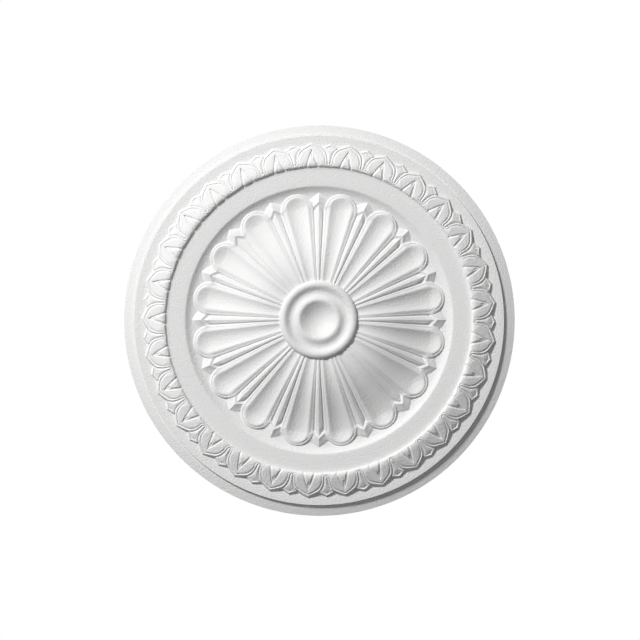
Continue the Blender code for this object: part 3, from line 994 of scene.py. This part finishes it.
def moulding():
    """The whole surface, from the back round its edge and in to the middle of the boss."""
    v = bpy.context.scene.rose_leaves
    f = bpy.context.scene.rose_flower
    r, _ = turning()
    skin = Skin()
    back, flat = skin.turn(rim_profile(), TURNED_SIDES)
    skin.add(back, [tuple(range(len(back)))])
    leaf_points, leaf_faces = repeated("leaf_band", half_leaves(), v.leaves, v.first)
    skin.add(leaf_points, leaf_faces)
    skin.zip_rings(flat, ring_at(leaf_points, r.flat))
    profile = middle_profile()
    plain, recess = skin.turn(profile[1:], RECESS_SIDES)
    skin.zip_rings(skin.collar(ring_at(leaf_points, r.band), *profile[0]), plain)
    flower_points, flower_faces = repeated("flower", half_petal_and_spear(), f.petals, 0.0)
    skin.add(flower_points, flower_faces)
    skin.zip_rings(recess, ring_at(flower_points, r.recess))
    profile = boss_profile()
    boss, _ = skin.turn(profile[2:], BOSS_SIDES)
    skin.zip_rings(skin.collar(ring_at(flower_points, r.boss), *profile[1]), boss)
    return skin


# Materials

# Foam beads: how unevenly they lie, and how much they count in the relief against the noise
BEAD_JITTER = 0.9
BEAD_WEIGHT = 0.7
# Noise added to the beads: its scale as a share of theirs, and its levels of detail
GRAIN_SCALE = 0.6
GRAIN_DETAIL = 3.0
# The floor of the stage
FLOOR_COLOUR = (0.85, 0.85, 0.85)
FLOOR_ROUGHNESS = 0.8


def foam_material():
    """White pressed foam: beads with fine seams between them."""
    known = bpy.data.materials.get("pressed_foam")
    if known:
        return known
    s = bpy.context.scene.rose_foam
    material = bpy.data.materials.new("pressed_foam")
    material.use_nodes = True
    tree = material.node_tree
    shader = tree.nodes["Principled BSDF"]
    place = tree.nodes.new("ShaderNodeTexCoord").outputs["Object"]
    beads = add_node(tree, "ShaderNodeTexVoronoi", vector=place, scale=1 / s.bead, randomness=BEAD_JITTER)
    grain_scale = GRAIN_SCALE / s.bead
    grain = add_node(tree, "ShaderNodeTexNoise", vector=place, scale=grain_scale, detail=GRAIN_DETAIL)
    relief = math_node(tree, "MULTIPLY_ADD", beads.outputs["Distance"], -BEAD_WEIGHT, grain.outputs[0])
    bump = add_node(tree, "ShaderNodeBump", height=relief, distance=s.relief, strength=1.0)
    tree.links.new(bump.outputs[0], shader.inputs["Normal"])
    shader.inputs["Base Color"].default_value = (*s.colour, 1)
    shader.inputs["Roughness"].default_value = s.roughness
    return material


def plain_material(name, colour, roughness):
    material = bpy.data.materials.new(name)
    material.use_nodes = True
    shader = material.node_tree.nodes["Principled BSDF"]
    shader.inputs["Base Color"].default_value = (*colour, 1)
    shader.inputs["Roughness"].default_value = roughness
    return material


# Width of the camera's sensor, in millimetres
SENSOR_WIDTH = 36.0


# Operators

class ROSE_OT_moulding(bpy.types.Operator):
    """Build the whole moulding as one surface"""

    bl_idname = "rose.moulding"
    bl_label = "Moulding"

    def execute(self, context):
        mesh = mesh_of("moulded_rose", moulding())
        mesh.materials.append(foam_material())
        mesh.shade_smooth()
        mesh.set_sharp_from_angle(angle=SHARP_ANGLE)
        rose = bpy.data.objects.new("moulded_rose", mesh)
        context.scene.collection.objects.link(rose)
        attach(rose, "root")
        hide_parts(NODE)
        return {"FINISHED"}


class ROSE_OT_stage(bpy.types.Operator):
    """Set the floor, the lights and the camera"""

    bl_idname = "rose.stage"
    bl_label = "Stage"

    def execute(self, context):
        s = context.scene.rose_stage
        make_floor(s)
        make_key_light(s)
        make_surroundings(s)
        make_camera(s)
        return {"FINISHED"}


def make_floor(s):
    mesh = bpy.data.meshes.new("floor")
    half = s.floor_size / 2
    corners = [(-half, -half), (half, -half), (half, half), (-half, half)]
    mesh.from_pydata([(x, y, -s.floor_drop) for x, y in corners], [], [(0, 1, 2, 3)])
    mesh.materials.append(plain_material("pale_floor", FLOOR_COLOUR, FLOOR_ROUGHNESS))
    floor = bpy.data.objects.new("floor", mesh)
    bpy.context.scene.collection.objects.link(floor)


def make_key_light(s):
    light = bpy.data.lights.new("key", "AREA")
    light.size = s.key_size
    light.energy = s.key_power
    key = bpy.data.objects.new("key", light)
    bearing, height = s.key_bearing, s.key_height
    towards = Vector((
        math.sin(bearing) * math.cos(height),
        -math.cos(bearing) * math.cos(height),
        -math.sin(height),
    ))
    key.location = towards * s.key_distance
    key.rotation_euler = towards.to_track_quat("Z", "Y").to_euler()
    bpy.context.scene.collection.objects.link(key)


def make_surroundings(s):
    """A white backdrop, light from the pale ceiling's side, and dimmer light from the room."""
    world = bpy.data.worlds.new("studio")
    world.use_nodes = True
    tree = world.node_tree
    tree.nodes.clear()
    direction = tree.nodes.new("ShaderNodeTexCoord").outputs["Generated"]
    height = add_node(tree, "ShaderNodeSeparateXYZ", vector=direction).outputs["Z"]
    upward = math_node(tree, "GREATER_THAN", height, 0.0)
    strength = math_node(tree, "MULTIPLY_ADD", upward, s.ceiling - s.room, s.room)
    backdrop = add_node(tree, "ShaderNodeBackground", color=(1, 1, 1, 1), strength=1.0)
    light = add_node(tree, "ShaderNodeBackground", color=(1, 1, 1, 1), strength=strength)
    rays = tree.nodes.new("ShaderNodeLightPath")
    mix = tree.nodes.new("ShaderNodeMixShader")
    tree.links.new(rays.outputs["Is Camera Ray"], mix.inputs[0])
    tree.links.new(light.outputs[0], mix.inputs[1])
    tree.links.new(backdrop.outputs[0], mix.inputs[2])
    tree.links.new(mix.outputs[0], tree.nodes.new("ShaderNodeOutputWorld").inputs[0])
    bpy.context.scene.world = world
    bpy.context.scene.view_settings.view_transform = "Standard"


def make_camera(s):
    """Looks up at the rose, with the picture's top towards -Y."""
    data = bpy.data.cameras.new("camera")
    data.sensor_width = SENSOR_WIDTH
    data.sensor_fit = "HORIZONTAL"
    data.lens = data.sensor_width * s.camera_distance / s.picture_width
    camera = bpy.data.objects.new("camera", data)
    place = Vector((s.camera_right, s.camera_down, -s.camera_distance))
    aim = Vector((s.aim_right, s.aim_down, 0))
    backward = (place - aim).normalized()
    right = Vector((0, -1, 0)).cross(backward).normalized()
    up = backward.cross(right)
    camera.matrix_world = Matrix.Translation(place) @ Matrix((right, up, backward)).transposed().to_4x4()
    bpy.context.scene.collection.objects.link(camera)
    bpy.context.scene.camera = camera


class ROSE_PT_panel(bpy.types.Panel):
    """Sizes and steps of the ceiling rose"""

    bl_label = "Ceiling Rose"
    bl_space_type = "VIEW_3D"
    bl_region_type = "UI"
    bl_category = "Ceiling Rose"

    def draw(self, context):
        for operator in OPERATORS:
            self.layout.operator(operator.bl_idname)
        for name, group in SETTINGS.items():
            box = self.layout.box()
            settings = getattr(context.scene, name)
            for key in group.__annotations__:
                box.prop(settings, key)


OPERATORS = (ROSE_OT_moulding, ROSE_OT_stage)
CLASSES = (*SETTINGS.values(), *OPERATORS, ROSE_PT_panel)


def register():
    for item in CLASSES:
        bpy.utils.register_class(item)
    for name, group in SETTINGS.items():
        setattr(bpy.types.Scene, name, PointerProperty(type=group))


def unregister():
    for name in SETTINGS:
        delattr(bpy.types.Scene, name)
    for item in reversed(CLASSES):
        bpy.utils.unregister_class(item)


def main():
    register()
    bpy.ops.rose.moulding()
    bpy.ops.rose.stage()


if __name__ == "__main__":
    main()
